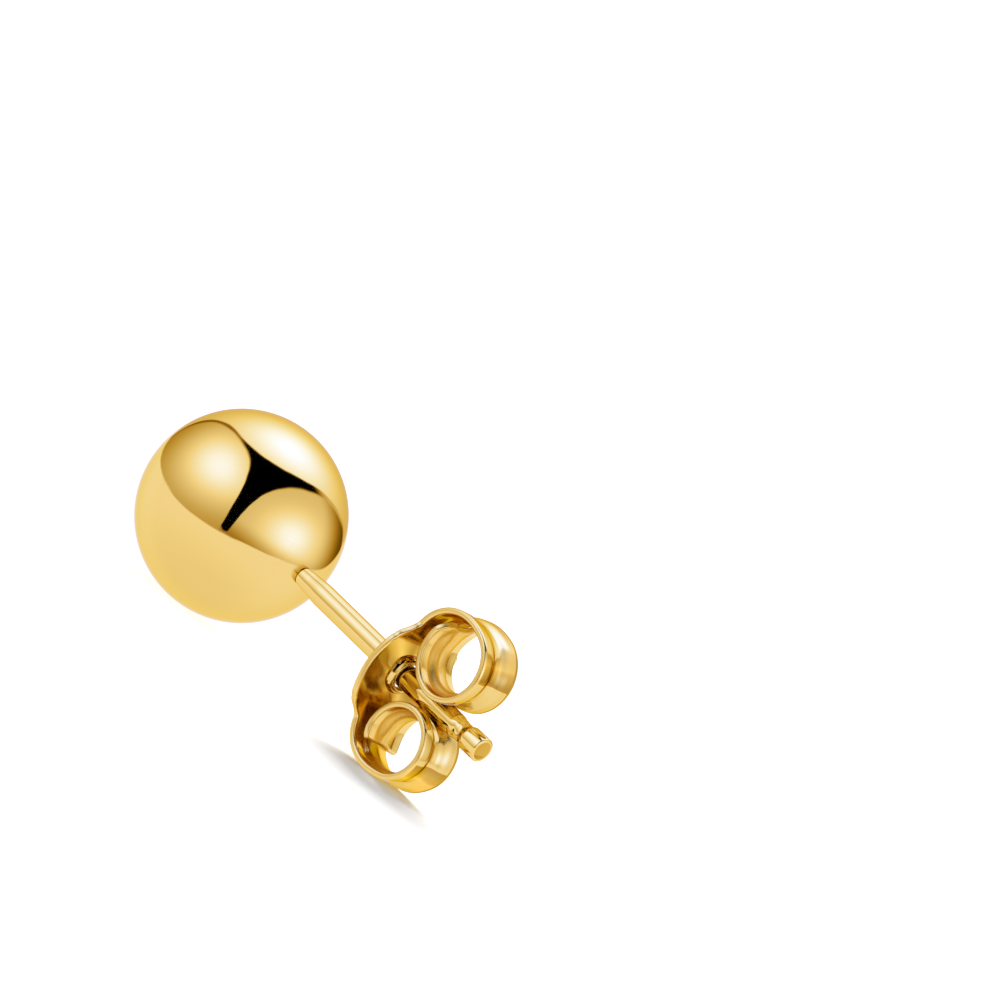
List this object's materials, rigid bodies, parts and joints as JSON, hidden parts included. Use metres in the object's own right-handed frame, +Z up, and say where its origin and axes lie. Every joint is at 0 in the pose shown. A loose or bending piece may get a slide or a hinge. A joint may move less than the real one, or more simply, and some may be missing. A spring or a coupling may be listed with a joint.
{
  "type": "ball stud earring",
  "caption": "Ball stud earring: a polished gold ball on a straight post, with a butterfly back of bent sheet that slides along the post.",
  "frame": {"origin": "centre of the bottom of the object's box, on the surface that the earring lies on", "axes": "+Z up, +X along the post's direction over the surface, from the ball to the post's end, +Y across it, away from the side that the picture shows"},
  "size_m": [0.0168, 0.007, 0.007],
  "materials": {
    "stud_gold": "yellow gold, mirror polished",
    "back_gold": "yellow gold, pressed sheet, polished"
  },
  "bodies": {
    "stud": {"ball_stud": "stud_gold"},
    "back": {"butterfly_back": "back_gold"}
  },
  "joints": [
    {"name": "back_slide", "type": "slide", "parent": "stud", "child": "back", "axis": [0.9989, 0, -0.0459], "range_m": [-0.005, 0.005]}
  ]
}
